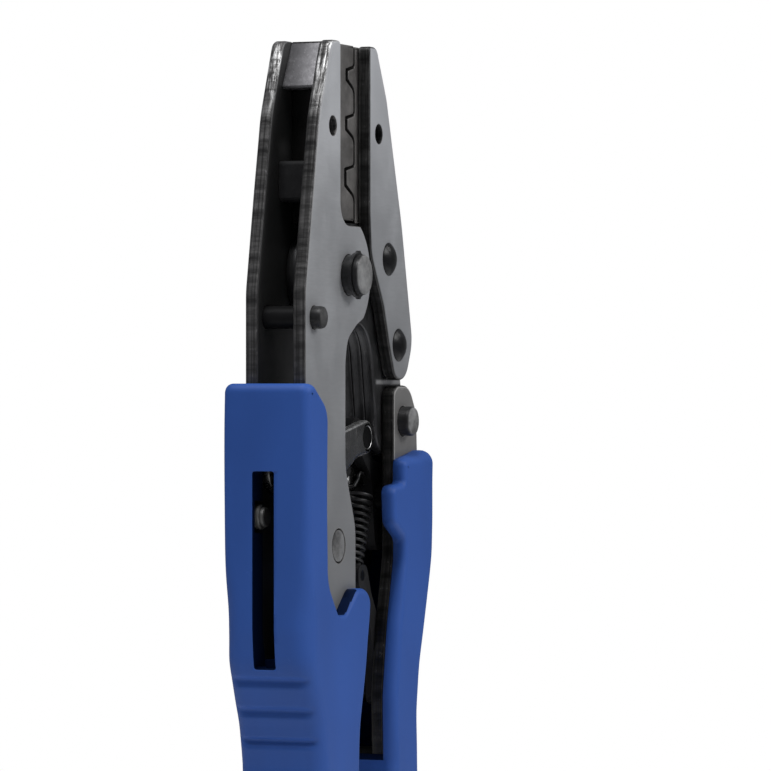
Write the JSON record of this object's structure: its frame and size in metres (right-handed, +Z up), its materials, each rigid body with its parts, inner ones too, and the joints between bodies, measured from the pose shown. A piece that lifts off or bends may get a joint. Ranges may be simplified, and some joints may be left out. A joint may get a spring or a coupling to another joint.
{
  "type": "open-barrel crimping tool",
  "caption": "Ratchet hand tool with parallel steel plates, nested crimping dies and matte grips, which closes open-barrel terminals on a wire.",
  "frame": {"origin": "centre of the bounding box's foot, between the grips, on the surface that the grips stand on", "axes": "+Z up from the grips to the jaws, +X from the fixed grip's back to the moving grip's back, +Y across the plates, away from the near plate"},
  "size_m": [0.075, 0.022, 0.2146],
  "materials": {
    "plate_steel": "satin grey, ground",
    "handle_steel": "satin dark grey",
    "die_steel": "dark warm grey, oiled",
    "grip_plastic": "matte blue",
    "spring_steel": "black oxide wire",
    "core_steel": "black oxide",
    "black_steel": "black oxide"
  },
  "bodies": {
    "frame": {"frame_plate_near": "plate_steel", "frame_plate_far": "plate_steel", "nose_spacer": "core_steel", "fixed_die": "die_steel", "fixed_die_screw": "black_steel", "main_pivot_pin": "black_steel", "main_pivot_clip": "spring_steel", "frame_cross_pin": "black_steel", "frame_rivet": "black_steel", "link_anchor_pin": "black_steel", "window_stud": "black_steel", "frame_tang_rivets": "black_steel", "frame_tang_spacers": "black_steel", "fixed_grip": "grip_plastic"},
    "jaw": {"jaw_cheek_near": "plate_steel", "jaw_cheek_far": "plate_steel", "jaw_core_near": "core_steel", "jaw_core_mid": "core_steel", "jaw_core_far": "core_steel", "moving_die": "die_steel", "moving_die_screw": "black_steel", "jaw_rivet_upper": "black_steel", "jaw_rivet_lower": "black_steel", "handle_pivot_pin": "black_steel"},
    "handle": {"handle_plate_near": "handle_steel", "handle_plate_far": "handle_steel", "ratchet_tongue": "core_steel", "elbow_pin": "black_steel", "inner_rivets": "black_steel", "inner_spacers": "black_steel", "handle_tang_rivets": "black_steel", "handle_tang_spacers": "black_steel", "spring_arm": "core_steel", "arm_spacers": "black_steel", "spring_post": "black_steel", "return_spring": "spring_steel", "moving_grip": "grip_plastic"},
    "link": {"link_plate_near": "core_steel", "link_plate_far": "core_steel", "link_spacer": "black_steel", "spring_ear_pin": "black_steel", "pawl_pin": "black_steel", "pawl_spring": "spring_steel"},
    "pawl": {"pawl": "core_steel"}
  },
  "joints": [
    {"name": "jaw_open", "type": "hinge", "parent": "frame", "child": "jaw", "pos_m": [-0.0075, 0, 0.164], "axis": [0, 1, 0], "range_deg": [0, 7]},
    {"name": "handle_swing", "type": "hinge", "parent": "jaw", "child": "handle", "pos_m": [0.0245, 0, 0.132], "axis": [0, -1, 0], "range_deg": [0, 45]},
    {"name": "link_turn", "type": "hinge", "parent": "handle", "child": "link", "pos_m": [0.011, 0, 0.1285], "axis": [0, 1, 0], "range_deg": [0, 56], "deforming": ["return_spring"]},
    {"name": "pawl_turn", "type": "hinge", "parent": "link", "child": "pawl", "pos_m": [-0.0065, 0, 0.118], "axis": [0, 1, 0], "range_deg": [0, 10], "stiffness_Nm_per_rad": 0.02, "springref_deg": -17.19, "deforming": ["pawl_spring"]}
  ],
  "couplings": [
    {"joint": "jaw_open", "follows": "handle_swing", "ratio": 0.1544},
    {"joint": "link_turn", "follows": "handle_swing", "ratio": 1.2406}
  ]
}
